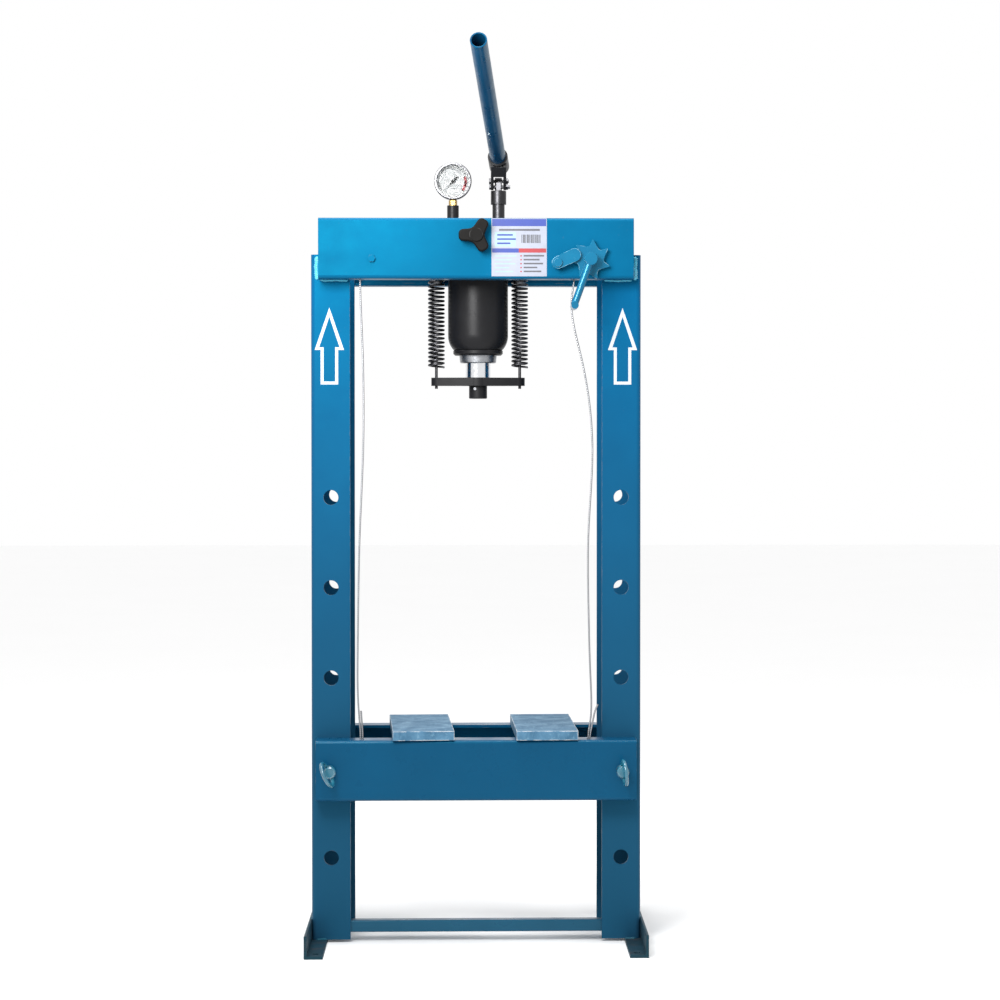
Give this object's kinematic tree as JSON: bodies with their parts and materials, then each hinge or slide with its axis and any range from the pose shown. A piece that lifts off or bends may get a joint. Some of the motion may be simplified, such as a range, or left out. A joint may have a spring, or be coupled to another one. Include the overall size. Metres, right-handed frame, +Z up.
{
  "type": "hydraulic shop press",
  "caption": "Floor-standing hydraulic shop press: welded channel frame, hand-pumped ram with return springs, gauge, and a bed raised by a cable winch.",
  "frame": {"origin": "middle of the bounding box's footprint, on the floor", "axes": "+Z up, +X to the operator's right, +Y away from the operator"},
  "size_m": [0.5646, 0.6594, 1.4797],
  "materials": {
    "frame_paint": "satin",
    "jack_black": "gloss",
    "bright_chrome": "gloss",
    "zinc_steel": "satin",
    "dark_steel": "satin",
    "spring_steel": "satin",
    "cable_steel": "satin",
    "plate_steel": "matte",
    "brass": "satin",
    "gauge_black": "gloss",
    "window_glass": "gloss",
    "dial_white": "matte",
    "knob_iron": "satin",
    "lever_paint": "satin",
    "seal_rubber": "matte"
  },
  "bodies": {
    "frame": {"left_post": "frame_paint", "right_post": "frame_paint", "left_foot": "frame_paint", "right_foot": "frame_paint", "top_beam_front": "frame_paint", "top_beam_rear": "frame_paint", "bed_beam_front": "frame_paint", "bed_beam_rear": "frame_paint", "bed_spacers": "frame_paint", "base_brace": "frame_paint", "jack_mount_plate": "frame_paint", "mount_screws": "zinc_steel", "jack_cylinder": "jack_black", "jack_head_block": "jack_black", "cylinder_collar": "jack_black", "gland_nut": "zinc_steel", "spring_anchors": "zinc_steel", "return_spring_left": "spring_steel", "return_spring_right": "spring_steel", "gauge_stem": "jack_black", "gauge_fitting": "brass", "gauge_case": "gauge_black", "gauge_bezel": "zinc_steel", "gauge_window": "window_glass", "gauge_dial": "dial_white", "pump_body": "dark_steel", "pump_head": "dark_steel", "winch_bush": "brass", "pawl_bolt": "frame_paint", "pulley_bolt": "frame_paint", "lift_cable_left": "cable_steel", "lift_cable_right": "cable_steel", "cable_ferrules": "dark_steel", "cable_ends": "cable_steel"},
    "ram": {"ram_rod": "bright_chrome", "piston": "dark_steel", "piston_seal": "seal_rubber", "cross_plate": "dark_steel", "ram_tip": "dark_steel", "tip_set_screw": "zinc_steel", "spring_rods": "dark_steel"},
    "lever": {"pump_lever": "lever_paint", "lever_pins": "zinc_steel"},
    "plunger": {"pump_plunger": "bright_chrome"},
    "handle": {"handle_tube": "frame_paint"},
    "valve": {"release_knob": "knob_iron", "release_spindle": "zinc_steel"},
    "needle": {"gauge_needle": "gauge_black"},
    "winch": {"winch_shaft": "zinc_steel", "cable_drum": "dark_steel", "ratchet_wheel": "frame_paint", "crank": "frame_paint"},
    "pulley": {"cable_pulley": "dark_steel"},
    "pawl": {"pawl": "frame_paint"},
    "pin_left": {"lock_pin_left": "frame_paint"},
    "pin_right": {"lock_pin_right": "frame_paint"},
    "ring_left": {"pin_ring_left": "frame_paint"},
    "ring_right": {"pin_ring_right": "frame_paint"},
    "plate_left": {"press_plate_left": "plate_steel"},
    "plate_right": {"press_plate_right": "plate_steel"}
  },
  "joints": [
    {"name": "ram_slide", "type": "slide", "parent": "frame", "child": "ram", "axis": [0, 0, -1], "range_m": [0, 0.15], "stiffness_N_per_m": 600, "springref_m": -0.08, "deforming": ["return_spring_left", "return_spring_right"]},
    {"name": "lever_swing", "type": "hinge", "parent": "frame", "child": "lever", "pos_m": [0.0387, 0.12674, 1.293], "axis": [-1, 0, 0], "range_deg": [0, 57]},
    {"name": "plunger_slide", "type": "slide", "parent": "frame", "child": "plunger", "axis": [0, 0, 1], "range_m": [0, 0.0246]},
    {"name": "handle_pull", "type": "slide", "parent": "lever", "child": "handle", "axis": [-0.0806, -0.943, 0.323], "range_m": [0, 0.06]},
    {"name": "valve_turn", "type": "hinge", "parent": "frame", "child": "valve", "pos_m": [0, -0.04026, 1.188], "axis": [0, -1, 0], "range_deg": [0, 270]},
    {"name": "needle_turn", "type": "hinge", "parent": "frame", "child": "needle", "pos_m": [-0.0394, 0.09974, 1.29], "axis": [0, 1, 0], "range_deg": [0, 270], "stiffness_Nm_per_rad": 0.001, "springref_deg": -17.19},
    {"name": "winch_turn", "type": "hinge", "parent": "frame", "child": "winch", "pos_m": [0.19, -0.02526, 1.148], "axis": [0, 1, 0], "continuous": true},
    {"name": "pulley_turn", "type": "hinge", "parent": "frame", "child": "pulley", "pos_m": [-0.174, -0.00726, 1.15], "axis": [0, 1, 0], "continuous": true},
    {"name": "pawl_swing", "type": "hinge", "parent": "frame", "child": "pawl", "pos_m": [0.1356, -0.03926, 1.1424], "axis": [0, -1, 0], "range_deg": [0, 100]},
    {"name": "pin_left_pull", "type": "slide", "parent": "frame", "child": "pin_left", "axis": [0, -1, 0], "range_m": [0, 0.25]},
    {"name": "pin_right_pull", "type": "slide", "parent": "frame", "child": "pin_right", "axis": [0, -1, 0], "range_m": [0, 0.25]},
    {"name": "ring_left_swing", "type": "hinge", "parent": "pin_left", "child": "ring_left", "pos_m": [-0.2443, -0.03726, 0.295], "axis": [-0.4226, 0, 0.9063], "range_deg": [-70, 85]},
    {"name": "ring_right_swing", "type": "hinge", "parent": "pin_right", "child": "ring_right", "pos_m": [0.2443, -0.03726, 0.295], "axis": [-0.1045, 0, 0.9945], "range_deg": [-81, 73]},
    {"name": "plate_left_slide", "type": "slide", "parent": "frame", "child": "plate_left", "axis": [1, 0, 0], "range_m": [-0.035, 0.045]},
    {"name": "plate_right_slide", "type": "slide", "parent": "frame", "child": "plate_right", "axis": [-1, 0, 0], "range_m": [-0.008, 0.045]}
  ],
  "couplings": [
    {"joint": "plunger_slide", "follows": "lever_swing", "m_per_rad": 0.02404},
    {"joint": "pulley_turn", "follows": "winch_turn", "ratio": 1.2}
  ]
}
